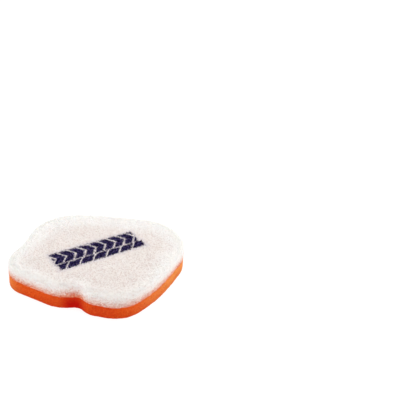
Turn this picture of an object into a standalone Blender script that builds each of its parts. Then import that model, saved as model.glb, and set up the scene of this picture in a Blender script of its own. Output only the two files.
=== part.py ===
"""Two-stage foam air filter panel for a small off-road motorcycle.

Metres, +Z up. The panel lies flat: the fine foam is underneath and seats on the
airbox, the coarse foam is on top and meets the dusty air. The origin is the centre
of the seat face. +X runs along the panel's length.

Both foams are cut from one bonded sheet with one outline, so every layer is drawn
from the same corners. The outline has a large lobe and a small lobe, with a step and
a notch between them on the near side and a shallow waist on the far side.
"""

import math

import bmesh
import bpy
from mathutils import Vector

# ---------------------------------------------------------------- driving dimensions

PANEL_THICKNESS = 0.0280  # seat face to outer face
BOND_HEIGHT = 0.0143  # middle of the glue line above the seat face
BOND_THICKNESS = 0.0004  # cured adhesive film
BOND_INSET = 0.0020  # the film stops short of the cut edge
LAYER_GAP = 0.0003  # clearance between neighbouring solids

OUTER_EDGE_RADIUS = 0.0030  # softened rim of the coarse foam
SEAT_EDGE_RADIUS = 0.0010  # softened rim of the fine foam
ARC_STEP = 0.0032  # longest chord along a rounded corner

# The outline as a draughtsman would dimension it: the sharp corner where two flanks
# would meet, and the radius that rounds it. It runs clockwise from the far left.
# The notch and the waist turn the other way, so their radii round a hollow.
OUTLINE_CORNERS = (
    # name            x        y        radius
    ("small_lobe_far", -0.0610, 0.0693, 0.0495),
    ("far_flank", -0.0050, 0.0693, 0.1535),
    ("large_lobe_far", 0.0805, 0.0558, 0.0465),
    ("right_end", 0.0905, 0.0098, 0.0360),
    ("right_flank", 0.0625, -0.0377, 0.1440),
    ("large_lobe_front", 0.0270, -0.0742, 0.0355),
    ("step", -0.0100, -0.0627, 0.0200),
    ("notch", -0.0180, -0.0517, 0.0105),
    ("small_lobe_front", -0.0400, -0.0532, 0.0355),
    ("left_end", -0.0975, -0.0172, 0.0240),
    ("waist", -0.0730, 0.0213, 0.0585),
)

FINE_FOAM_COLOUR = (0.74, 0.13, 0.022, 1.0)
COARSE_FOAM_COLOUR = (0.86, 0.82, 0.78, 1.0)
ADHESIVE_COLOUR = (0.78, 0.62, 0.36, 1.0)


# ---------------------------------------------------------------- scene


def clear_scene():
    for obj in list(bpy.data.objects):
        bpy.data.objects.remove(obj, do_unlink=True)


def new_collection(name):
    collection = bpy.data.collections.new(name)
    bpy.context.scene.collection.children.link(collection)
    return collection


def foam_material(name, colour, roughness):
    material = bpy.data.materials.new(name)
    material.use_nodes = True
    shader = material.node_tree.nodes["Principled BSDF"]
    shader.inputs["Base Color"].default_value = colour
    shader.inputs["Roughness"].default_value = roughness
    shader.inputs["Metallic"].default_value = 0.0
    material.diffuse_color = colour
    return material


# ---------------------------------------------------------------- outline


def corner_arc(before, corner, after, radius):
    """Points along the arc that rounds one corner of the outline."""
    to_before = (before - corner).normalized()
    to_after = (after - corner).normalized()
    half = to_before.angle(to_after) / 2
    centre = corner + (to_before + to_after).normalized() * (radius / math.sin(half))
    start = corner + to_before * (radius / math.tan(half)) - centre
    end = corner + to_after * (radius / math.tan(half)) - centre
    first = math.atan2(start.y, start.x)
    sweep = math.remainder(math.atan2(end.y, end.x) - first, 2 * math.pi)
    steps = max(2, math.ceil(abs(sweep) * radius / ARC_STEP))
    return [
        centre
        + radius
        * Vector(
            (math.cos(first + sweep * i / steps), math.sin(first + sweep * i / steps))
        )
        for i in range(steps + 1)
    ]


def outline_points(inset=0.0):
    """The rounded outline, moved inwards by inset along its own normal."""
    corners = [Vector((x, y)) for _, x, y, _ in OUTLINE_CORNERS]
    radii = [radius for *_, radius in OUTLINE_CORNERS]
    points = []
    for i, corner in enumerate(corners):
        after = corners[(i + 1) % len(corners)]
        points += corner_arc(corners[i - 1], corner, after, radii[i])
    if not inset:
        return points
    moved = []
    for i, point in enumerate(points):
        along = (points[(i + 1) % len(points)] - points[i - 1]).normalized()
        # The corners run clockwise, so the inside is on the right of the way round.
        moved.append(point + Vector((along.y, -along.x)) * inset)
    return moved


def cut_sheet(name, collection, material, bottom, top, inset=0.0):
    """A sheet die-cut to the outline, as a closed mesh between two heights."""
    curve = bpy.data.curves.new(name + "_outline", "CURVE")
    curve.dimensions = "2D"
    curve.fill_mode = "BOTH"
    curve.extrude = (top - bottom) / 2
    points = outline_points(inset)
    spline = curve.splines.new("POLY")
    spline.points.add(len(points) - 1)
    for spline_point, (x, y) in zip(spline.points, points):
        spline_point.co = (x, y, 0.0, 1.0)
    spline.use_cyclic_u = True
    flat = bpy.data.objects.new(name + "_outline", curve)
    flat.location.z = (top + bottom) / 2
    collection.objects.link(flat)
    bpy.context.view_layer.update()
    graph = bpy.context.evaluated_depsgraph_get()
    mesh = bpy.data.meshes.new_from_object(flat.evaluated_get(graph))
    mesh.name = name
    bm = bmesh.new()
    bm.from_mesh(mesh)
    bmesh.ops.remove_doubles(bm, verts=bm.verts, dist=0.00001)
    bmesh.ops.recalc_face_normals(bm, faces=bm.faces)
    # Each flat face becomes one polygon, so that a Bevel runs evenly round its rim.
    for side in (1, -1):
        flat_faces = [face for face in bm.faces if face.normal.z * side > 0.99]
        bmesh.ops.dissolve_faces(bm, faces=flat_faces, use_verts=False)
    bm.to_mesh(mesh)
    bm.free()
    sheet = bpy.data.objects.new(name, mesh)
    sheet.matrix_world = flat.matrix_world.copy()
    collection.objects.link(sheet)
    bpy.data.objects.remove(flat, do_unlink=True)
    mesh.materials.clear()
    mesh.materials.append(material)
    return sheet


def soften_rim(sheet, radius, upper, segments):
    """Rounds the rim of a sheet's upper or lower face with a weighted Bevel."""
    mesh = sheet.data
    rim_height = (max if upper else min)(v.co.z for v in mesh.vertices)
    bm = bmesh.new()
    bm.from_mesh(mesh)
    weight = bm.edges.layers.float.new("bevel_weight_edge")
    for edge in bm.edges:
        on_rim = all(abs(v.co.z - rim_height) < 1e-6 for v in edge.verts)
        across = {round(face.normal.z) for face in edge.link_faces}
        edge[weight] = 1.0 if on_rim and 0 in across else 0.0
    bm.to_mesh(mesh)
    bm.free()
    bevel = sheet.modifiers.new("softened_rim", "BEVEL")
    bevel.limit_method = "WEIGHT"
    bevel.width = radius
    bevel.segments = segments
    bevel.use_clamp_overlap = False


def shade(sheet):
    sheet.data.shade_smooth()
    sheet.data.set_sharp_from_angle(angle=math.radians(40))


# ---------------------------------------------------------------- build


def build():
    clear_scene()
    parts = new_collection("air_filter")
    fine_top = BOND_HEIGHT - BOND_THICKNESS / 2 - LAYER_GAP
    bond_bottom = BOND_HEIGHT - BOND_THICKNESS / 2
    bond_top = BOND_HEIGHT + BOND_THICKNESS / 2
    coarse_bottom = bond_top + LAYER_GAP

    fine = cut_sheet(
        "fine_inner_foam",
        parts,
        foam_material("fine_foam", FINE_FOAM_COLOUR, 0.9),
        0.0,
        fine_top,
    )
    soften_rim(fine, SEAT_EDGE_RADIUS, upper=False, segments=2)

    bond = cut_sheet(
        "adhesive_bond",
        parts,
        foam_material("adhesive", ADHESIVE_COLOUR, 0.45),
        bond_bottom,
        bond_top,
        inset=BOND_INSET,
    )

    coarse = cut_sheet(
        "coarse_outer_foam",
        parts,
        foam_material("coarse_foam", COARSE_FOAM_COLOUR, 0.92),
        coarse_bottom,
        PANEL_THICKNESS,
    )
    soften_rim(coarse, OUTER_EDGE_RADIUS, upper=True, segments=4)

    for sheet in (fine, bond, coarse):
        shade(sheet)


build()
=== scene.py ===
"""The looks of the two-stage foam air filter panel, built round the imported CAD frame.

Both foams are open-cell. Each is a closed mesh whose surface is a net of struts round
pores, cut by one smooth outline, and the pores are real geometry. The mesh is made by
scattering pore centres over the panel's surface, joining them into triangles, and
taking the dual of those triangles, as soap films meet in threes.

Lengths are in millimetres while a mesh is made, and in metres in the scene.
"""

import math

import bpy
import numpy as np
from mathutils import Matrix, Vector
from mathutils.geometry import delaunay_2d_cdt
from mathutils.kdtree import KDTree


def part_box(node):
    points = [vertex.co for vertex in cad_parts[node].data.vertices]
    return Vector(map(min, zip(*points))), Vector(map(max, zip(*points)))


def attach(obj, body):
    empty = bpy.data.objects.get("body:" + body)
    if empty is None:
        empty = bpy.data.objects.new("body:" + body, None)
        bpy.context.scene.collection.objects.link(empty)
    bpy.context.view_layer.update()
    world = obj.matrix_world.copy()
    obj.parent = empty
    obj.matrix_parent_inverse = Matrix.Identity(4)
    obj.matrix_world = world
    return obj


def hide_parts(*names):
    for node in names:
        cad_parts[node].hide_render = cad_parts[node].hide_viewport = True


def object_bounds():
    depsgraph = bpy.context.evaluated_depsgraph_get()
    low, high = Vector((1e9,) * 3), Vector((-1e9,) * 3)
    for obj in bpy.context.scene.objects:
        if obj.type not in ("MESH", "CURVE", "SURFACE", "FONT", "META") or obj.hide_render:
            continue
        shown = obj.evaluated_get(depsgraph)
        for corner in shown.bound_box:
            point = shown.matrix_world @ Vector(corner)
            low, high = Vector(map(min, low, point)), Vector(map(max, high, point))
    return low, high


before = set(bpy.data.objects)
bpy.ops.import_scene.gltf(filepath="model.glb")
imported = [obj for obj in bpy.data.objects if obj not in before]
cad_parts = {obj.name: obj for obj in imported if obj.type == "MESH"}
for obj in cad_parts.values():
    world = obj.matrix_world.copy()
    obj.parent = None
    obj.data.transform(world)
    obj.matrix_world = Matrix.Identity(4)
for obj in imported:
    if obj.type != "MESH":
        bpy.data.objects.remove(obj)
CAD_LOW, CAD_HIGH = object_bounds()
MM = 0.001

# ------------------------------------------------------------------ panel dimensions

THICKNESS = CAD_HIGH.z / MM
FINE_LOW, FINE_HIGH = (corner.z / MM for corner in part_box("fine_inner_foam"))
COARSE_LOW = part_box("coarse_outer_foam")[0].z / MM
BOND_LINE = (FINE_HIGH + COARSE_LOW) / 2

# The corners and radii that part.py cuts the panel to, in millimetres.
OUTLINE_CORNERS = (
    (-61.0, 69.3, 49.5),
    (-5.0, 69.3, 153.5),
    (80.5, 55.8, 46.5),
    (90.5, 9.8, 36.0),
    (62.5, -37.7, 144.0),
    (27.0, -74.2, 35.5),
    (-10.0, -62.7, 20.0),
    (-18.0, -51.7, 10.5),
    (-40.0, -53.2, 35.5),
    (-97.5, -17.2, 24.0),
    (-73.0, 21.3, 58.5),
)
NOTCH = np.array((-23.5, -51.2))

COARSE_PORE = 1.10  # mean distance between pore centres
FINE_PORE = 0.74
FINE_SEAT_PORE = 1.18


# ------------------------------------------------------------------ outline


class Outline:
    """The panel's edge as a closed line with its outward normals, by length along it."""

    def __init__(self, corners, step=0.25):
        points = []
        count = len(corners)
        for i, (x, y, radius) in enumerate(corners):
            corner = np.array((x, y))
            before = np.array(corners[i - 1][:2]) - corner
            after = np.array(corners[(i + 1) % count][:2]) - corner
            before /= np.linalg.norm(before)
            after /= np.linalg.norm(after)
            half = math.acos(float(np.clip(before @ after, -1, 1))) / 2
            middle = before + after
            centre = corner + middle / np.linalg.norm(middle) * radius / math.sin(half)
            start = corner + before * radius / math.tan(half) - centre
            end = corner + after * radius / math.tan(half) - centre
            first = math.atan2(start[1], start[0])
            sweep = math.remainder(math.atan2(end[1], end[0]) - first, 2 * math.pi)
            for k in range(max(2, math.ceil(abs(sweep) * radius / step)) + 1):
                turn = first + sweep * k / max(2, math.ceil(abs(sweep) * radius / step))
                points.append(
                    centre + radius * np.array((math.cos(turn), math.sin(turn)))
                )
        ring = np.array(points)
        closed = np.vstack([ring, ring[:1]])
        lengths = np.linalg.norm(np.diff(closed, axis=0), axis=1)
        keep = np.append(lengths > 1e-6, True)
        closed = closed[keep]
        along = np.concatenate(
            [[0], np.cumsum(np.linalg.norm(np.diff(closed, axis=0), axis=1))]
        )
        self.length = along[-1]
        samples = np.arange(0, self.length, 0.2)
        self.at = samples
        line = np.stack([np.interp(samples, along, closed[:, k]) for k in (0, 1)], 1)
        tangent = np.roll(line, -2, 0) - np.roll(line, 2, 0)
        for _ in range(6):  # eases the change from flank to arc, as a soft cut has it
            tangent = (
                np.roll(tangent, 3, 0) + 2 * tangent + np.roll(tangent, -3, 0)
            ) / 4
        tangent /= np.linalg.norm(tangent, axis=1)[:, None]
        # The corners run clockwise, so the outside is on the left.
        self.line = line
        self.normal = np.stack([-tangent[:, 1], tangent[:, 0]], 1)

    def _sample(self, table, s):
        s = np.mod(s, self.length)
        ends = np.append(self.at, self.length)
        return np.stack(
            [np.interp(s, ends, np.append(table[:, k], table[0, k])) for k in (0, 1)],
            axis=1,
        )

    def point(self, s, inset=0.0):
        return self._sample(self.line, s) - self.outward(s) * np.reshape(inset, (-1, 1))

    def outward(self, s):
        normal = self._sample(self.normal, s)
        return normal / np.linalg.norm(normal, axis=1)[:, None]


OUTLINE = Outline(OUTLINE_CORNERS)


def nearest(points, line):
    """The distance from each point to the nearest of the line's points, and its index."""
    tree = KDTree(len(line))
    for i, (x, y) in enumerate(line.tolist()):
        tree.insert((x, y, 0.0), i)
    tree.balance()
    found = [tree.find((x, y, 0.0))[1:] for x, y in points.tolist()]
    index, distance = np.array(found).reshape(-1, 2).T
    return distance, index.astype(int)


def inside(points, line):
    """Whether each point is inside the closed line."""
    within = np.zeros(len(points), bool)
    for (x0, y0), (x1, y1) in zip(line, np.roll(line, -1, 0)):
        if y0 == y1:
            continue
        crosses = (points[:, 1] > y0) != (points[:, 1] > y1)
        at = x0 + (points[:, 1] - y0) / (y1 - y0) * (x1 - x0)
        within ^= crosses & (points[:, 0] < at)
    return within


# ------------------------------------------------------------------ smooth noise


class Waves:
    """A sum of a few long waves in space, for slow unevenness."""

    def __init__(self, seed, longest, shortest, count=24):
        random = np.random.default_rng(seed)
        wavelength = np.exp(
            random.uniform(math.log(shortest), math.log(longest), count)
        )
        direction = random.normal(size=(count, 3))
        direction /= np.linalg.norm(direction, axis=1)[:, None]
        self.waves = direction * (2 * math.pi / wavelength)[:, None]
        self.phase = random.uniform(0, 2 * math.pi, count)
        self.size = np.sqrt(wavelength / longest)
        self.scale = 1 / math.sqrt((self.size**2).sum() / 2)

    def __call__(self, points):
        total = np.zeros(len(points))
        for wave, phase, size in zip(self.waves, self.phase, self.size):
            total += size * np.sin(points @ wave + phase)
        return total * self.scale


# ------------------------------------------------------------------ pored surface


def scatter(width, height, spacing, random, jitter=0.36):
    """Points over a rectangle, on a staggered grid with each one moved at random."""
    rows = max(1, round(height / (spacing * 0.866)))
    columns = max(3, round(width / spacing))
    y = (np.arange(rows) + 0.5) * height / rows
    x = np.arange(columns) * width / columns
    grid = np.stack(np.meshgrid(x, y), -1)
    grid[1::2, :, 0] += width / columns / 2
    points = grid.reshape(-1, 2)
    return points + random.uniform(-jitter, jitter, points.shape) * spacing


def triangles_inside(border, interior):
    """Delaunay triangles of the border's polygon and the points in it."""
    points = np.vstack([border, interior])
    made = delaunay_2d_cdt(
        [Vector((float(x), float(y))) for x, y in points],
        [],
        [list(range(len(border)))],
        1,
        1e-5,
    )
    source = [ids[0] for ids in made[3]]
    faces = np.array([[source[i] for i in face] for face in made[2]], int)
    return upright(points, faces)


def triangles_of_strip(points, length, low, high):
    """Delaunay triangles of a strip that closes on itself along its length."""
    margin = 9.0
    index = np.arange(len(points))
    s = points[:, 0]
    copies = np.vstack(
        [
            points,
            points[s < margin] + [length, 0],
            points[s > length - margin] - [length, 0],
        ]
    )
    owners = np.concatenate([index, index[s < margin], index[s > length - margin]])
    made = delaunay_2d_cdt(
        [Vector((float(x), float(y))) for x, y in copies], [], [], 0, 1e-5
    )
    source = np.array([ids[0] for ids in made[3]])
    faces = source[np.array([list(face) for face in made[2]], int)]
    faces = upright(copies, faces)
    corners = copies[faces]
    middle = corners[:, :, 0].mean(1)
    on_edge = (np.ptp(corners[:, :, 1], axis=1) < 1e-6) & (
        (np.abs(corners[:, 0, 1] - low) < 1e-6)
        | (np.abs(corners[:, 0, 1] - high) < 1e-6)
    )
    return owners[faces[(middle >= 0) & (middle < length) & ~on_edge]]


def upright(points, faces):
    """The triangles, each turned to run anticlockwise."""
    a, b, c = points[faces[:, 0]], points[faces[:, 1]], points[faces[:, 2]]
    area = (b[:, 0] - a[:, 0]) * (c[:, 1] - a[:, 1]) - (b[:, 1] - a[:, 1]) * (
        c[:, 0] - a[:, 0]
    )
    faces = faces[np.abs(area) > 1e-9]
    area = area[np.abs(area) > 1e-9]
    return np.where(area[:, None] < 0, faces[:, ::-1], faces)


def edges_of(faces):
    """Each edge once, with the triangle on its left and the one on its right, or -1."""
    start = faces.ravel()
    end = faces[:, [1, 2, 0]].ravel()
    owner = np.repeat(np.arange(len(faces)), 3)
    left = dict(zip(zip(start.tolist(), end.tolist()), owner.tolist()))
    inner, border = [], []
    for (a, b), triangle in left.items():
        other = left.get((b, a))
        if other is None:
            border.append((a, b, triangle))
        elif a < b:
            inner.append((a, b, triangle, other))
    return np.array(inner, int), np.array(border, int)


class Layer:
    """One foam layer: a pored cap, a softened rim and a pored side, and a plain bond face."""

    def __init__(
        self, cap, up, pore, cap_pore, rim_in, rim_down, bond, lip, lap, seed, depth,
        ridge, wander,
    ):
        self.cap = cap  # height of the open flat face
        self.up = up  # 1 if that face looks up, -1 if it looks down
        self.pore, self.cap_pore = pore, cap_pore  # on the side, and on the flat face
        self.rim_in, self.rim_down = rim_in, rim_down
        self.bond = bond  # height of the bond face at the cut edge
        self.lip = lip  # how far the bond face stands back from its own rim
        self.lap = lap  # how far out, and how far past the bond line, the cut edge is
        self.seed = seed
        self.depth = depth  # least and greatest depth of a pore
        self.ridge = ridge  # lowest and highest strut joint
        self.wander = wander  # slow unevenness of the cut side
        self.random = np.random.default_rng(seed)
        self._profile()

    def _profile(self):
        """How far in and how high the smooth surface is, by length from the flat."""
        turn = np.linspace(0, math.pi / 2, 60)
        power = 2 / 2.3
        inset = self.rim_in * (1 - np.sin(turn) ** power)
        drop = self.rim_down * (1 - np.cos(turn) ** power)
        reach = abs(self.cap - self.bond)
        inset = np.append(inset, 0.0)
        drop = np.append(drop, reach)
        steps = np.hypot(np.diff(inset), np.diff(drop))
        self.along = np.concatenate([[0], np.cumsum(steps)])
        self.inset, self.drop = inset, drop
        self.height = self.along[-1]

    def smooth(self, s, t):
        """Points of the smooth rim and side, and the normals there."""
        inset = np.interp(t, self.along, self.inset)
        drop = np.interp(t, self.along, self.drop)
        ahead = np.minimum(t + 0.2, self.height)
        behind = np.maximum(t - 0.2, 0.0)
        d_in = np.interp(ahead, self.along, self.inset) - np.interp(
            behind, self.along, self.inset
        )
        d_down = np.interp(ahead, self.along, self.drop) - np.interp(
            behind, self.along, self.drop
        )
        outward = OUTLINE.outward(s)
        flat = OUTLINE.point(s, inset)
        points = np.column_stack([flat, self.cap - self.up * drop])
        size = np.hypot(d_in, d_down) + 1e-9
        normals = np.column_stack(
            [outward * (d_down / size)[:, None], -self.up * d_in / size]
        )
        return points, normals

    def build(self):
        pore, cap_pore, random = self.pore, self.cap_pore, self.random
        # The ring where the flat face ends, and the ring at the bond line.
        top_count = round(0.95 * OUTLINE.length / math.sqrt(pore * cap_pore))
        low_count = round(OUTLINE.length / pore)
        ring_s = (np.arange(top_count) + random.uniform(-0.25, 0.25, top_count)) * (
            OUTLINE.length / top_count
        )
        ring_s = np.sort(np.mod(ring_s, OUTLINE.length))
        edge_s = (np.arange(low_count) + random.uniform(-0.2, 0.2, low_count)) * (
            OUTLINE.length / low_count
        )
        edge_s = np.sort(np.mod(edge_s, OUTLINE.length))
        strip = scatter(OUTLINE.length, self.height - pore * 0.9, pore, random)
        strip[:, 1] += pore * 0.45
        strip[:, 0] = np.mod(strip[:, 0], OUTLINE.length)
        strip = strip[
            (strip[:, 1] > pore * 0.42) & (strip[:, 1] < self.height - pore * 0.42)
        ]

        ring_t = random.uniform(-0.3, 0.3, top_count) * pore
        ring_inset = np.interp(np.maximum(ring_t, 0), self.along, self.inset)
        ring_inset += np.maximum(-ring_t, 0)
        ring_flat = OUTLINE.point(ring_s, ring_inset)
        ring, ring_normal = self.smooth(ring_s, np.maximum(ring_t, 0))
        ring[:, :2] = ring_flat

        low, high = CAD_LOW / MM, CAD_HIGH / MM
        field = scatter(high.x - low.x, high.y - low.y, cap_pore, random)
        field += [low.x, low.y]
        field = field[inside(field, ring_flat)]
        distance, _ = nearest(field, ring_flat)
        field = field[distance > cap_pore * 0.62]
        # The pores keep a little apart, so that no strut is drawn out to a needle.
        field = relaxed(field, ring_flat)

        cap_faces = triangles_inside(ring_flat, field)
        strip_sites = np.vstack(
            [
                np.column_stack([ring_s, np.zeros(top_count)]),
                strip,
                np.column_stack([edge_s, np.full(low_count, self.height)]),
            ]
        )
        strip_faces = triangles_of_strip(
            strip_sites, OUTLINE.length, 0.0, self.height
        )
        # Site numbers: ring, cap, strip, edge.
        caps, strips = len(field), len(strip)
        cap_ids = np.concatenate(
            [np.arange(top_count), top_count + np.arange(caps)]
        )
        strip_ids = np.concatenate(
            [
                np.arange(top_count),
                top_count + caps + np.arange(strips),
                top_count + caps + strips + np.arange(low_count),
            ]
        )
        side, side_normal = self.smooth(strip[:, 0], strip[:, 1])
        edge, edge_normal = self.smooth(edge_s, np.full(low_count, self.height))
        field3 = np.column_stack([field, np.full(caps, self.cap)])
        up = np.tile([0, 0, self.up], (caps, 1)).astype(float)
        sites = np.vstack([ring, field3, side, edge])
        normals = np.vstack([ring_normal, up, side_normal, edge_normal])
        # Seen along its length with the outside towards the viewer, the strip runs
        # the other way round from the cap.
        cap_faces = cap_ids[cap_faces]
        strip_faces = strip_ids[strip_faces]
        if self.up > 0:
            faces = np.vstack([cap_faces, strip_faces[:, ::-1]])
        else:
            faces = np.vstack([cap_faces[:, ::-1], strip_faces])
        faces = self._consistent(faces, sites, normals)
        self.sites, self.normals, self.faces = sites, normals, faces
        self.edge_first = top_count + caps + strips
        self.low_count = low_count
        return self._pored()

    def _consistent(self, faces, sites, normals):
        """The triangles turned to face along the surface's own normals."""
        a, b, c = sites[faces[:, 0]], sites[faces[:, 1]], sites[faces[:, 2]]
        facing = (np.cross(b - a, c - a) * normals[faces].mean(1)).sum(1)
        return np.where(facing[:, None] < 0, faces[:, ::-1], faces)

    def _pored(self):
        sites, normals, faces, random = (
            self.sites,
            self.normals,
            self.faces,
            self.random,
        )
        inner, border = edges_of(faces)
        joints = sites[faces].mean(1)
        joint_normals = normals[faces].mean(1)
        joint_normals /= np.linalg.norm(joint_normals, axis=1)[:, None]
        mids = (sites[border[:, 0]] + sites[border[:, 1]]) / 2
        mid_normals = (normals[border[:, 0]] + normals[border[:, 1]]) / 2
        mid_normals /= np.linalg.norm(mid_normals, axis=1)[:, None]

        points = np.vstack([sites, joints, mids])
        facing = np.vstack([normals, joint_normals, mid_normals])
        site_count, joint_count = len(sites), len(joints)
        kind = np.concatenate(
            [np.ones(site_count), np.zeros(joint_count), np.zeros(len(mids))]
        )

        # The surface wanders slowly in and out, most on the side and least on the flat.
        flatness = np.abs(facing[:, 2])
        slow = Waves(41, 60, 14)(points) * self.wander
        quick = Waves(42, 9, 3.2, 40)(points) * self.wander * 0.45
        out = (slow + quick) * (1 - 0.75 * flatness)
        # Close to the bond line the coarse foam laps a little over the fine foam.
        near_bond = np.clip(1 - np.abs(points[:, 2] - self.bond) / 2.2, 0, 1)
        out += self.lap[0] * near_bond * near_bond * (1 - flatness)

        size = random.uniform(0, 1, site_count) ** 1.4
        sunk = self.depth[0] + (self.depth[1] - self.depth[0]) * size
        lift = random.uniform(self.ridge[0], self.ridge[1], joint_count)
        stray = random.uniform(0, 1, joint_count) > 0.93
        lift = np.where(
            stray & (flatness[site_count : site_count + joint_count] < 0.8),
            lift + random.uniform(0.1, 0.45, joint_count) * self.ridge[2],
            lift,
        )
        on_edge = np.zeros(len(points), bool)
        on_edge[self.edge_first : site_count] = True
        on_edge[site_count + joint_count :] = True
        sunk[self.edge_first :] *= 0.15
        out[:site_count] -= sunk
        out[site_count : site_count + joint_count] += lift
        # Struts lean a little to the side, so that pores aren't all alike.
        sway = random.normal(size=(len(points), 3)) * 0.07 * self.pore
        sway -= (sway * facing).sum(1)[:, None] * facing
        sway[on_edge] = 0
        points = points + facing * out[:, None] + sway

        # The bond edge keeps its height, apart from a slow and a quick unevenness.
        points[on_edge, 2] = self.edge_height(points[on_edge])

        # How open and deep each pore is, from 0.30 to 1; the materials paint the deeper pores darker
        # as shade.
        shade = np.concatenate([0.30 + 0.70 * size, np.zeros(joint_count + len(mids))])
        shade[self.edge_first : site_count] = 0.8

        a, b, left, right = inner.T
        left, right = left + site_count, right + site_count
        # Each edge of the first net crosses one strut. It gives a triangle to each pore.
        quads = [np.stack([a, right, left], 1), np.stack([b, left, right], 1)]
        a, b, left = border.T
        middle = site_count + joint_count + np.arange(len(border))
        quads += [
            np.stack([a, middle, left + site_count], 1),
            np.stack([b, left + site_count, middle], 1),
        ]
        mesh_faces = np.vstack(quads)
        a, b, c = (points[mesh_faces[:, k]] for k in range(3))
        facing_now = (np.cross(b - a, c - a) * facing[mesh_faces].mean(1)).sum(1)
        # One test for the whole net: the two kinds of triangle turn the same way.
        if (facing_now > 0).mean() < 0.5:
            mesh_faces = mesh_faces[:, ::-1]
            border = border[:, [1, 0, 2]]
        loop = self._loop(border, middle)
        return self._closed(points, mesh_faces, loop, shade, kind)

    def edge_height(self, points):
        """The wavering height of the bond line, the same for both layers."""
        flat = points * [1, 1, 0]
        waver = Waves(71, 40, 12)(flat) * 0.2
        ragged = Waves(72, 6, 1.9, 40)(flat) * 0.16
        torn = self.random.uniform(-1, 1, len(points)) * self.lap[2]
        return BOND_LINE - self.lap[1] + waver + ragged + torn

    def _loop(self, border, middle):
        """The bond edge's points in order, with the middles between them."""
        after = {}
        for (a, b, _), m in zip(border.tolist(), middle.tolist()):
            after[a] = (m, b)
        start = int(border[0, 0])
        loop, at = [], start
        while True:
            m, to = after[at]
            loop += [at, m]
            at = to
            if at == start:
                break
        if len(loop) != 2 * len(border):
            raise RuntimeError("the bond edge isn't one loop")
        return np.array(loop)

    def _closed(self, points, faces, loop, shade, kind):
        """Adds the bond face: a narrow lip, then a flat that stands back for the glue."""
        rim = points[loop]
        _, near = nearest(rim[:, :2], OUTLINE.line)
        inward = -OUTLINE.normal[near]
        shelf = rim.copy()
        shelf[:, :2] += inward * 1.5
        shelf[:, 2] = self.bond + self.lip
        first = len(points)
        count = len(loop)
        inner_ids = first + np.arange(count)
        following = np.roll(np.arange(count), -1)
        lip = np.vstack(
            [
                np.stack([loop, inner_ids, loop[following]], 1),
                np.stack([loop[following], inner_ids, inner_ids[following]], 1),
            ]
        )
        random = np.random.default_rng(self.seed + 9)
        low, high = CAD_LOW / MM, CAD_HIGH / MM
        sparse = scatter(high.x - low.x, high.y - low.y, 7.0, random, 0.2)
        sparse += [low.x, low.y]
        sparse = sparse[inside(sparse, shelf[:, :2])]
        sparse = sparse[nearest(sparse, shelf[:, :2])[0] > 3.5]
        flat_faces = triangles_inside(shelf[:, :2], sparse)
        sparse3 = np.column_stack([sparse, np.full(len(sparse), self.bond + self.lip)])
        ids = np.concatenate([inner_ids, first + count + np.arange(len(sparse))])
        flat_faces = ids[flat_faces]
        everything = np.vstack([points, shelf, sparse3])
        flat_faces = self._face(flat_faces, everything, -self.up)
        lip = self._face(lip, everything, -self.up)
        self.surface_count = len(faces)
        self.plain_count = len(lip) + len(flat_faces)
        made = np.vstack([faces, lip, flat_faces])
        extra = np.zeros(count + len(sparse))
        return everything, made, np.append(shade, extra), np.append(kind, extra)

    def _face(self, faces, points, up):
        a, b, c = (points[faces[:, k]] for k in range(3))
        turned = np.cross(b - a, c - a)[:, 2] * up
        return np.where(turned[:, None] < 0, faces[:, ::-1], faces)


def relaxed(field, border, rounds=2):
    """Moves each point a little towards the middle of its neighbours' triangles."""
    for _ in range(rounds):
        points = np.vstack([border, field])
        faces = triangles_inside(border, field)
        corners = points[faces]
        middle = corners.mean(1)
        area = np.abs(
            (corners[:, 1, 0] - corners[:, 0, 0])
            * (corners[:, 2, 1] - corners[:, 0, 1])
            - (corners[:, 1, 1] - corners[:, 0, 1])
            * (corners[:, 2, 0] - corners[:, 0, 0])
        )
        total = np.zeros((len(points), 2))
        weight = np.zeros(len(points))
        for k in range(3):
            np.add.at(total, faces[:, k], middle * area[:, None])
            np.add.at(weight, faces[:, k], area)
        centre = total / np.maximum(weight, 1e-9)[:, None]
        field = field + (centre[len(border) :] - field) * 0.55
    return field


# ------------------------------------------------------------------ mesh to object


def atlas(layer, points, faces, near):
    """Where each face corner lies on the one square map: the flat, the side in three
    strips above it, and the bond face small in what is left."""
    span = 214.0  # millimetres across the map
    low = np.array((CAD_LOW.x, CAD_LOW.y)) / MM
    at = OUTLINE.at[near]
    inward = -((points[:, :2] - OUTLINE.line[near]) * OUTLINE.normal[near]).sum(1)
    drop = np.abs(points[:, 2] - layer.cap)
    uv = np.zeros((len(faces), 3, 2))
    plain = np.arange(len(faces)) >= layer.surface_count
    steep = drop[faces].mean(1) + 0.9 > inward[faces].mean(1)
    side = steep & ~plain & (drop[faces].mean(1) > layer.rim_down * 0.35)
    flat = ~plain & ~side

    uv[flat] = points[faces[flat]][:, :, :2] - low + [2, 2]
    # A corner just past the seam belongs with its own face.
    corner_s = at[faces[side]]
    own = corner_s[:, :1]
    corner_s += np.round((own - corner_s) / OUTLINE.length) * OUTLINE.length
    third = OUTLINE.length / 3
    which = np.clip(corner_s.mean(1) // third, 0, 2)
    rise = (drop - np.clip(inward, -1, 9))[faces[side]]
    uv[side, :, 0] = corner_s - which[:, None] * third + 8
    uv[side, :, 1] = 144.0 + which[:, None] * 23.2 + np.clip(rise + 7.4, 0.3, 22.6)
    uv[plain] = (points[faces[plain]][:, :, :2] - low) * 0.15 + [184, 2]
    return np.clip(uv / span, 0.001, 0.999)


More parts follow.
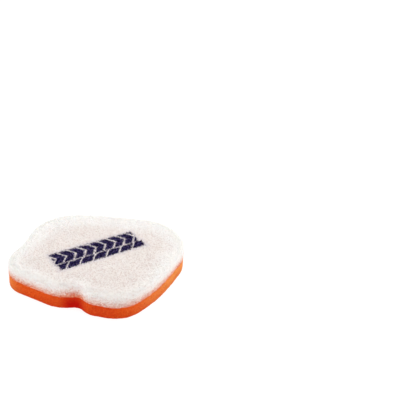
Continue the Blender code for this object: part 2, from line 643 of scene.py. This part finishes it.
def as_object(name, layer, points, faces, shade, kind):
    mesh = bpy.data.meshes.new(name)
    mesh.vertices.add(len(points))
    mesh.vertices.foreach_set("co", (points * MM).astype(np.float32).ravel())
    mesh.loops.add(len(faces) * 3)
    mesh.loops.foreach_set("vertex_index", faces.astype(np.int32).ravel())
    mesh.polygons.add(len(faces))
    mesh.polygons.foreach_set("loop_start", np.arange(0, len(faces) * 3, 3))
    mesh.update(calc_edges=True)
    mesh.validate()

    def attribute(title, values):
        made = mesh.attributes.new(title, "FLOAT", "POINT")
        made.data.foreach_set("value", values.astype(np.float32))

    distance, near = nearest(points[:, :2], OUTLINE.line)
    # The pore attribute holds each pore's depth, which the materials turn into painted shade.
    attribute("pore", shade)
    attribute("from_rim", distance)
    attribute("hollow", np.linalg.norm(points[:, :2] - NOTCH, axis=1))
    uv = mesh.uv_layers.new(name="OFBake")
    spread = atlas(layer, points, faces, near)
    uv.data.foreach_set("uv", spread.astype(np.float32).ravel())
    mesh.shade_smooth()
    made = bpy.data.objects.new(name, mesh)
    bpy.context.scene.collection.objects.link(made)
    return made


# ------------------------------------------------------------------ materials


class Nodes:
    """A short way to write a material's node tree as sums."""

    def __init__(self, name):
        self.material = bpy.data.materials.new(name)
        self.material.use_nodes = True
        self.tree = self.material.node_tree
        self.shader = self.tree.nodes["Principled BSDF"]

    def link(self, value, socket):
        if isinstance(value, bpy.types.NodeSocket):
            self.tree.links.new(value, socket)
        else:
            socket.default_value = value

    def math(self, operation, *values, clamp=False):
        node = self.tree.nodes.new("ShaderNodeMath")
        node.operation = operation
        node.use_clamp = clamp
        for value, socket in zip(values, node.inputs):
            self.link(value, socket)
        return node.outputs[0]

    def add(self, a, b):
        return self.math("ADD", a, b)

    def sub(self, a, b):
        return self.math("SUBTRACT", a, b)

    def mul(self, a, b):
        return self.math("MULTIPLY", a, b)

    def step(self, value, low, high):
        """0 below low, 1 above high, and smooth between. It falls if low is above high."""
        node = self.tree.nodes.new("ShaderNodeMapRange")
        node.interpolation_type = "SMOOTHSTEP"
        self.link(value, node.inputs["Value"])
        falls = not isinstance(low, bpy.types.NodeSocket) and low > high
        node.inputs["From Min"].default_value = high if falls else low
        node.inputs["From Max"].default_value = low if falls else high
        node.inputs["To Min"].default_value = 1.0 if falls else 0.0
        node.inputs["To Max"].default_value = 0.0 if falls else 1.0
        return node.outputs["Result"]

    def attribute(self, name):
        node = self.tree.nodes.new("ShaderNodeAttribute")
        node.attribute_name = name
        return node.outputs["Fac"]

    def position(self):
        node = self.tree.nodes.new("ShaderNodeTexCoord")
        return node.outputs["Object"]

    def axes(self, vector):
        node = self.tree.nodes.new("ShaderNodeSeparateXYZ")
        self.tree.links.new(vector, node.inputs[0])
        return node.outputs

    def vector(self, x, y, z):
        node = self.tree.nodes.new("ShaderNodeCombineXYZ")
        for value, socket in zip((x, y, z), node.inputs):
            self.link(value, socket)
        return node.outputs[0]

    def noise(self, vector, size_mm, detail=2.0, rough=0.5):
        """Noise of about that feature size, centred on 0.5."""
        node = self.tree.nodes.new("ShaderNodeTexNoise")
        self.tree.links.new(vector, node.inputs["Vector"])
        node.inputs["Scale"].default_value = 1000.0 / size_mm
        node.inputs["Detail"].default_value = detail
        node.inputs["Roughness"].default_value = rough
        return node.outputs["Fac"]

    def cells(self, vector, size_mm, feature="F1"):
        node = self.tree.nodes.new("ShaderNodeTexVoronoi")
        node.feature = feature
        self.tree.links.new(vector, node.inputs["Vector"])
        node.inputs["Scale"].default_value = 1000.0 / size_mm
        return node.outputs["Distance"]

    def mix(self, factor, a, b, blend="MIX"):
        node = self.tree.nodes.new("ShaderNodeMix")
        node.data_type = "RGBA"
        node.blend_type = blend
        node.clamp_factor = True
        self.link(factor, node.inputs[0])
        self.link(a, node.inputs[6])
        self.link(b, node.inputs[7])
        return node.outputs[2]

    def ramp(self, value, low, high, stops):
        """A colour that runs through the stops, given as (value, colour), in order."""
        node = self.tree.nodes.new("ShaderNodeValToRGB")
        elements = node.color_ramp.elements
        while len(elements) < len(stops):
            elements.new(0.5)
        for element, (at, colour) in zip(elements, stops):
            element.position = (at - low) / (high - low)
            element.color = colour
        scaled = self.tree.nodes.new("ShaderNodeMapRange")
        self.link(value, scaled.inputs["Value"])
        scaled.inputs["From Min"].default_value = low
        scaled.inputs["From Max"].default_value = high
        self.tree.links.new(scaled.outputs["Result"], node.inputs["Fac"])
        return node.outputs["Color"]

    def bump(self, height, distance_mm, strength, below=None):
        node = self.tree.nodes.new("ShaderNodeBump")
        self.tree.links.new(height, node.inputs["Height"])
        node.inputs["Distance"].default_value = distance_mm * MM
        node.inputs["Strength"].default_value = strength
        if below is not None:
            self.tree.links.new(below, node.inputs["Normal"])
        return node.outputs["Normal"]


def rgb(r, g, b):
    """A colour from its display values, 0 to 255."""

    def linear(v):
        v /= 255
        return v / 12.92 if v <= 0.04045 else ((v + 0.055) / 1.055) ** 2.4

    return (linear(r), linear(g), linear(b), 1.0)


def stamp_mask(n, position, hole):
    """Ink for a plain airflow mark: a row of arrow bars over a row of long bars."""
    x, y, _ = n.axes(position)
    # The mark's own axes, in millimetres: u runs along it, v across it.
    turn = math.radians(MARK_TURN)
    dx = n.sub(n.mul(x, 1000.0), MARK_CENTRE[0])
    dy = n.sub(n.mul(y, 1000.0), MARK_CENTRE[1])
    u = n.add(n.mul(dx, math.cos(turn)), n.mul(dy, math.sin(turn)))
    v = n.sub(n.mul(dy, math.cos(turn)), n.mul(dx, math.sin(turn)))
    # Ink creeps along the struts, so its edge is ragged.
    creep = n.noise(position, 0.9, 2.0, 0.6)
    creep2 = n.noise(position, 2.2, 2.0)
    ragged = n.add(n.mul(n.sub(creep, 0.5), 8.5), n.mul(n.sub(creep2, 0.5), 4.5))
    ragged = n.sub(n.add(ragged, 0.45), n.mul(hole, 0.7))

    def between(value, low, high):
        inside_low = n.sub(value, low)
        inside_high = n.sub(high, value)
        return n.math("MINIMUM", inside_low, inside_high)

    # Upper row: arrow bars. Each is an angled stroke that points along the mark.
    row_v = n.sub(v, MARK_ROW_V)
    half = MARK_ROW_H / 2
    slant = n.mul(n.math("ABSOLUTE", row_v), -0.75)
    along = n.sub(n.sub(u, slant), -MARK_LENGTH / 2 + 4.0)
    cell = n.math("MODULO", n.add(along, 200.0 * MARK_PITCH), MARK_PITCH)
    bar = between(cell, 0.5, MARK_PITCH * 0.83)
    rows = between(row_v, -half, half)
    ends = between(u, -MARK_LENGTH / 2, MARK_LENGTH / 2)
    upper = n.math("MINIMUM", n.math("MINIMUM", bar, rows), ends)
    # Lower row: long bars, cut at a slant.
    dash_v = n.sub(v, MARK_DASH_V)
    dash_along = n.add(n.sub(u, n.mul(dash_v, 0.8)), 20.0 * MARK_DASH_PITCH + 6.0)
    dash_cell = n.math("MODULO", dash_along, MARK_DASH_PITCH)
    dash = between(dash_cell, 0.0, MARK_DASH_PITCH - 2.0)
    dash_rows = between(dash_v, -MARK_DASH_H / 2, MARK_DASH_H / 2)
    dash_ends = between(u, -MARK_LENGTH / 2 + 1.0, MARK_LENGTH / 2 + 3.0)
    lower = n.math("MINIMUM", n.math("MINIMUM", dash, dash_rows), dash_ends)
    both = n.math("MAXIMUM", upper, lower)
    return n.step(n.add(both, ragged), -0.5, 0.4), n.add(both, ragged)


MARK_CENTRE = (-2.0, 4.8)
MARK_TURN = 26.0
MARK_LENGTH = 91.0
MARK_ROW_V, MARK_ROW_H = 4.2, 16.8
MARK_DASH_V, MARK_DASH_H = -9.8, 8.6
MARK_PITCH = 11.0
MARK_DASH_PITCH = 14.5


def coarse_material():
    n = Nodes("coarse_foam_look")
    position = n.position()
    x, y, z = n.axes(position)
    pore = n.attribute("pore")
    from_rim = n.attribute("from_rim")
    hollow = n.attribute("hollow")
    grain = n.noise(position, 0.8, 2.0, 0.6)
    patch = n.noise(position, 24.0, 2.0)
    clump = n.noise(position, 1.9, 1.0)
    # Hole runs from 0 on the net of thin struts to 1 in the open pores between them.
    # Low on the side the orange foam shows through, most of all down in the pores, and the orange
    # glow it sends up through the white foam is painted in too.
    above = n.mul(n.sub(z, BOND_LINE * MM), 1000.0)
    fray = n.noise(position, 1.7, 3.0, 0.6)
    above = n.add(above, n.mul(n.sub(fray, 0.5), 6.0))
    above = n.sub(above, n.add(n.mul(n.step(hollow, 16.0, 4.0), 1.8), 0.5))
    thin = n.step(above, 7.0, -0.5)
    open_part = n.add(pore, n.mul(n.sub(grain, 0.5), 0.45))
    open_part = n.add(open_part, n.mul(n.sub(clump, 0.5), 0.7))
    hole = n.step(n.add(open_part, n.mul(thin, 0.16)), 0.10, 0.62)
    strut = n.ramp(
        above,
        -2.0,
        14.0,
        (
            (-2.0, rgb(236, 140, 92)),
            (-0.6, rgb(240, 176, 146)),
            (1.6, rgb(243, 206, 190)),
            (4.6, rgb(247, 229, 221)),
            (8.0, rgb(253, 245, 241)),
            (11.0, rgb(254, 250, 247)),
            (13.5, rgb(254, 251, 248)),
        ),
    )
    shaded_pit = n.ramp(
        above,
        -2.0,
        14.0,
        (
            (-2.0, rgb(208, 62, 18)),
            (0.0, rgb(212, 72, 26)),
            (3.2, rgb(213, 96, 62)),
            (6.0, rgb(221, 148, 130)),
            (8.5, rgb(235, 198, 188)),
            (11.0, rgb(243, 224, 217)),
            (13.5, rgb(247, 234, 228)),
        ),
    )
    # Painted glow and shade: the middle of the panel, most at the front, is painted warmer and a
    # shade darker than its rim, for the orange foam's light glowing through.
    glow_and_shade = n.add(n.add(from_rim, n.mul(n.sub(patch, 0.5), 14.0)), n.mul(y, -170.0))
    glow_and_shade = n.step(glow_and_shade, 4.0, 26.0)
    strut = n.mix(n.mul(glow_and_shade, 0.9), strut, rgb(246, 238, 233))
    shaded_pit = n.mix(n.mul(glow_and_shade, 0.9), shaded_pit, rgb(213, 183, 173))
    # Painted highlight: round the rim, where the struts stand free and catch the light, they are
    # painted paler and their pores less dark, most at the back and ends.
    rim_highlight = n.mul(n.step(from_rim, 15.0, -2.0), n.step(above, 7.0, 14.0))
    # Painted shade: the open pores are painted darker than the struts.
    colour = n.mix(n.mul(hole, n.sub(1.0, n.mul(rim_highlight, 0.45))), strut, shaded_pit)
    # Painted shade: the deepest pores, which look right down into the foam, are painted darker.
    deep_pore_shade = n.step(n.add(pore, n.mul(n.sub(grain, 0.5), 0.2)), 0.48, 0.90)
    colour = n.mix(n.mul(deep_pore_shade, 0.95), colour, n.mix(0.6, shaded_pit, rgb(150, 84, 66)))
    highlight_far_and_ends = n.math("MAXIMUM", n.step(y, -0.040, 0.020), n.step(n.math("ABSOLUTE", x), 0.060, 0.092))
    rim_highlight = n.mul(rim_highlight, n.add(n.mul(highlight_far_and_ends, 0.42), 0.30))
    colour = n.mix(rim_highlight, colour, rgb(255, 254, 247))
    # Specks of the orange foam's loose struts cling to the lowest pores of the cut side.
    speck = n.noise(position, 1.15, 2.0, 0.6)
    speck = n.step(n.sub(speck, n.mul(n.math("MAXIMUM", above, 0.0), 0.032)), 0.49, 0.59)
    colour = n.mix(n.mul(n.mul(speck, n.step(above, 8.0, 1.0)), 0.52), colour, rgb(226, 100, 54))

    # The mark.
    mask, distance = stamp_mask(n, position, hole)
    on_top = n.step(z, (THICKNESS - 3.5) * MM, (THICKNESS - 2.6) * MM)
    speckle = n.noise(position, 0.8, 2.0, 0.6)
    blotch = n.noise(position, 2.0, 2.0, 0.6)
    dry = n.step(n.add(n.add(n.mul(speckle, 0.5), n.mul(blotch, 0.7)), n.mul(hole, 0.06)), 0.57, 0.76)
    inked = n.mul(mask, on_top)
    halo = n.mul(n.mul(n.step(distance, -5.5, 0.5), on_top), 0.38)
    colour = n.mix(halo, colour, rgb(190, 182, 200))
    ink = n.mix(hole, rgb(3, 0, 40), rgb(0, 0, 20))
    ink = n.mix(n.mul(dry, 0.66), ink, rgb(106, 94, 150))
    colour = n.mix(inked, colour, ink)
    n.link(colour, n.shader.inputs["Base Color"])
    n.link(n.add(n.mul(hole, 0.12), 0.78), n.shader.inputs["Roughness"])
    cells = n.cells(position, 0.55)
    relief = n.add(n.add(n.mul(grain, 0.4), n.mul(cells, 0.5)), n.mul(hole, -0.9))
    n.link(n.bump(relief, 0.30, 0.6), n.shader.inputs["Normal"])
    n.shader.inputs["Specular IOR Level"].default_value = 0.02
    n.shader.inputs["Sheen Weight"].default_value = 0.01
    n.shader.inputs["Sheen Roughness"].default_value = 0.5
    n.shader.inputs["Subsurface Weight"].default_value = 0.2
    n.shader.inputs["Subsurface Radius"].default_value = (1.0, 0.75, 0.6)
    n.shader.inputs["Subsurface Scale"].default_value = 0.0012
    return n.material


def fine_material():
    n = Nodes("fine_foam_look")
    position = n.position()
    x, y, z = n.axes(position)
    pore = n.attribute("pore")
    hollow = n.attribute("hollow")
    grain = n.noise(position, 0.7, 2.0, 0.6)
    patch = n.noise(position, 16.0, 2.0)
    hole = n.step(n.add(pore, n.mul(n.sub(grain, 0.5), 0.7)), 0.05, 0.85)
    strut, shaded_pit = rgb(222, 84, 22), rgb(188, 42, 8)
    # Painted light: the cut edge is painted paler at its two ends, the right end most, where the side
    # lights fall on it.
    patchy = n.mul(n.sub(patch, 0.5), 0.012)
    right_end = n.step(n.add(x, patchy), 0.020, 0.092)
    left_end = n.step(n.add(x, patchy), -0.070, -0.092)
    end_light = n.math("MAXIMUM", n.mul(right_end, 0.95), n.mul(left_end, 0.7))
    strut = n.mix(end_light, strut, rgb(238, 152, 76))
    shaded_pit = n.mix(end_light, shaded_pit, rgb(216, 104, 42))
    # Painted shade: the open pores are painted darker than the struts, and the deepest darker still.
    colour = n.mix(hole, strut, shaded_pit)
    deep_pore_shade = n.step(n.add(pore, n.mul(n.sub(grain, 0.5), 0.2)), 0.50, 1.0)
    colour = n.mix(n.mul(deep_pore_shade, 0.6), colour, n.mix(0.6, shaded_pit, rgb(150, 20, 2)))
    # Painted shade: it is painted a shade darker towards the seat, near the floor.
    low = n.step(n.add(z, patchy), 0.011, 0.000)
    colour = n.mix(n.mul(low, 0.35), colour, rgb(178, 34, 4))
    # Pores that hold more oil or less show as a fine mottle.
    mottle = n.noise(position, 1.15, 2.0, 0.6)
    colour = n.mix(n.mul(n.step(mottle, 0.54, 0.72), 0.48), colour, rgb(160, 30, 6))
    colour = n.mix(n.mul(n.step(mottle, 0.46, 0.28), 0.42), colour, rgb(244, 136, 62))
    # Painted shade and bounce light: in the notch the walls shade and light each other, and the
    # colour is painted deeper red there.
    colour = n.mix(n.mul(n.step(hollow, 38.0, 12.0), 0.25), colour, rgb(196, 44, 12))
    # Painted shade: the front-facing wall just right of the notch is painted darker red too.
    front_wall_shade = n.mul(n.mul(n.step(x, -0.010, -0.002), n.step(x, 0.024, 0.008)), n.step(y, -0.03, -0.05))
    colour = n.mix(n.mul(front_wall_shade, 0.42), colour, rgb(194, 44, 14))
    notch_shade = n.mul(n.step(hollow, 16.5, 3.0), n.step(z, 0.026, 0.004))
    colour = n.mix(n.mul(notch_shade, 0.97), colour, rgb(188, 6, 1))
    # Broken struts of the coarse foam lie over its top edge.
    above = n.mul(n.sub(z, BOND_LINE * MM), 1000.0)
    fray = n.noise(position, 1.0, 3.0, 0.65)
    stray = n.step(n.add(n.mul(above, 0.085), fray), 0.57, 0.67)
    colour = n.mix(n.mul(n.mul(stray, n.step(above, -3.6, -0.8)), 0.7), colour, rgb(246, 204, 182))
    n.link(colour, n.shader.inputs["Base Color"])
    n.link(n.add(n.mul(hole, 0.1), 0.75), n.shader.inputs["Roughness"])
    cells = n.cells(position, 0.42)
    relief = n.add(n.add(n.mul(grain, 0.4), n.mul(cells, 0.6)), n.mul(hole, -0.6))
    n.link(n.bump(relief, 0.18, 0.5), n.shader.inputs["Normal"])
    n.shader.inputs["Specular IOR Level"].default_value = 0.05
    n.shader.inputs["Sheen Weight"].default_value = 0.05
    n.shader.inputs["Sheen Roughness"].default_value = 0.45
    n.shader.inputs["Sheen Tint"].default_value = (1.0, 0.78, 0.58, 1.0)
    n.shader.inputs["Subsurface Weight"].default_value = 0.15
    n.shader.inputs["Subsurface Radius"].default_value = (1.0, 0.35, 0.15)
    n.shader.inputs["Subsurface Scale"].default_value = 0.0012
    return n.material


def adhesive_material():
    n = Nodes("adhesive_look")
    position = n.position()
    web = n.cells(position, 3.2, "DISTANCE_TO_EDGE")
    grain = n.noise(position, 1.1, 3.0, 0.6)
    wet = n.step(n.add(web, n.mul(n.sub(grain, 0.5), 0.25)), 0.02, 0.22)
    colour = n.mix(wet, rgb(236, 214, 168), rgb(206, 164, 104))
    n.link(colour, n.shader.inputs["Base Color"])
    n.link(n.add(n.mul(wet, 0.3), 0.3), n.shader.inputs["Roughness"])
    n.link(n.bump(n.add(web, grain), 0.15, 0.5), n.shader.inputs["Normal"])
    return n.material


# ------------------------------------------------------------------ pieces


def make_pieces():
    coarse = Layer(
        cap=THICKNESS,
        up=1,
        pore=COARSE_PORE,
        cap_pore=COARSE_PORE,
        rim_in=7.0,
        rim_down=3.6,
        bond=BOND_LINE,
        lip=0.5,
        lap=(0.18, 0.25, 0.34),
        seed=11,
        depth=(0.45, 1.25),
        ridge=(-0.14, 0.14, 1.0),
        wander=0.16,
    )
    fine = Layer(
        cap=0.0,
        up=-1,
        pore=FINE_PORE,
        cap_pore=FINE_SEAT_PORE,
        rim_in=1.6,
        rim_down=1.3,
        bond=BOND_LINE,
        lip=-0.5,
        lap=(-0.24, -0.38, 0.03),
        seed=23,
        depth=(0.14, 0.44),
        ridge=(-0.06, 0.02, 0.5),
        wander=0.16,
    )
    made = {}
    for name, layer, node, slot, material, fill in (
        ("coarse_foam_layer", coarse, "coarse_outer_foam", "coarse_foam", coarse_material(), 0.9),
        ("fine_foam_layer", fine, "fine_inner_foam", "fine_foam", fine_material(), 0.9),
    ):
        points, faces, shade, kind = layer.build()
        if layer.up < 0:
            points[:, 2] = np.maximum(points[:, 2], 0.0)
        piece = as_object(name, layer, points, faces, shade, kind)
        piece.data.materials.append(material)
        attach(piece, "root")
        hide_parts(node)
        made[name] = piece
        print(name, len(points), "points", len(faces), "triangles")
    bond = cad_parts["adhesive_bond"]
    bond.data.materials.clear()
    bond.data.materials.append(adhesive_material())
    return made


# ------------------------------------------------------------------ camera and stage


def aim_camera():
    """A long lens 0.9 m away and 38 degrees up, aimed past the panel to the right."""
    focal = 882.0  # in widths of one four-hundredth of the frame
    distance, elevation = 0.900, math.radians(38.0)
    target = Vector((-0.00207, -0.00536, 0.0140))
    at = (96.0, 267.0)  # where the target lies, of 400 by 400, from the top left
    forward = Vector((0, math.cos(elevation), -math.sin(elevation)))
    right = Vector((1, 0, 0))
    up = right.cross(forward)
    across, above = (at[0] - 200) / focal, (200 - at[1]) / focal
    off = math.hypot(across, above)
    tip = -(right * across + up * above) / off
    turn = Matrix.Rotation(math.atan(off), 3, forward.cross(tip))
    data = bpy.data.cameras.new("camera")
    data.sensor_width = 36.0
    data.lens = focal / 400 * 36.0
    data.clip_start, data.clip_end = 0.01, 20.0
    camera = bpy.data.objects.new("camera", data)
    right, up, forward = turn @ right, turn @ up, turn @ forward
    camera.matrix_world = Matrix.Translation(
        target - Vector((0, math.cos(elevation), -math.sin(elevation))) * distance
    ) @ Matrix((right, up, -forward)).transposed().to_4x4()
    bpy.context.scene.collection.objects.link(camera)
    bpy.context.scene.camera = camera


def soft_light(name, place, aim, size, power, colour=(1, 1, 1)):
    data = bpy.data.lights.new(name, "AREA")
    data.shape = "RECTANGLE"
    data.size, data.size_y = size
    data.energy = power
    data.color = colour
    light = bpy.data.objects.new(name, data)
    light.location = place
    way = Vector(aim) - Vector(place)
    light.rotation_mode = "QUATERNION"
    light.rotation_quaternion = way.to_track_quat("-Z", "Y")
    bpy.context.scene.collection.objects.link(light)
    return light


def make_stage():
    mesh = bpy.data.meshes.new("floor")
    side = 6.0
    mesh.from_pydata(
        [(-side, -side, 0), (side, -side, 0), (side, side, 0), (-side, side, 0)],
        [],
        [(0, 1, 2, 3)],
    )
    floor = bpy.data.objects.new("floor", mesh)
    floor.location.z = -0.0002
    bpy.context.scene.collection.objects.link(floor)
    n = Nodes("floor_look")
    n.shader.inputs["Base Color"].default_value = (0.26, 0.26, 0.26, 1)
    n.shader.inputs["Emission Color"].default_value = (1, 1, 1, 1)
    n.shader.inputs["Emission Strength"].default_value = 0.83
    n.shader.inputs["Roughness"].default_value = 0.9
    n.shader.inputs["Specular IOR Level"].default_value = 0.0
    mesh.materials.append(n.material)

    world = bpy.data.worlds.new("studio")
    world.use_nodes = True
    background = world.node_tree.nodes["Background"]
    background.inputs["Color"].default_value = (1, 1, 1, 1)
    background.inputs["Strength"].default_value = 1.0
    bpy.context.scene.world = world

    soft_light("top_soft", (0.0, 0.35, 1.3), (0, 0, 0), (1.4, 1.2), 0.5)
    soft_light("right_soft", (1.0, 0.25, 0.62), (0, 0, 0.01), (0.9, 0.7), 3.7)
    soft_light("left_soft", (-1.1, -0.10, 0.60), (0, 0, 0.01), (0.8, 0.7), 2.2)
    bpy.context.scene.view_settings.view_transform = "Standard"
    bpy.context.scene.view_settings.look = "None"


aim_camera()
make_stage()
make_pieces()
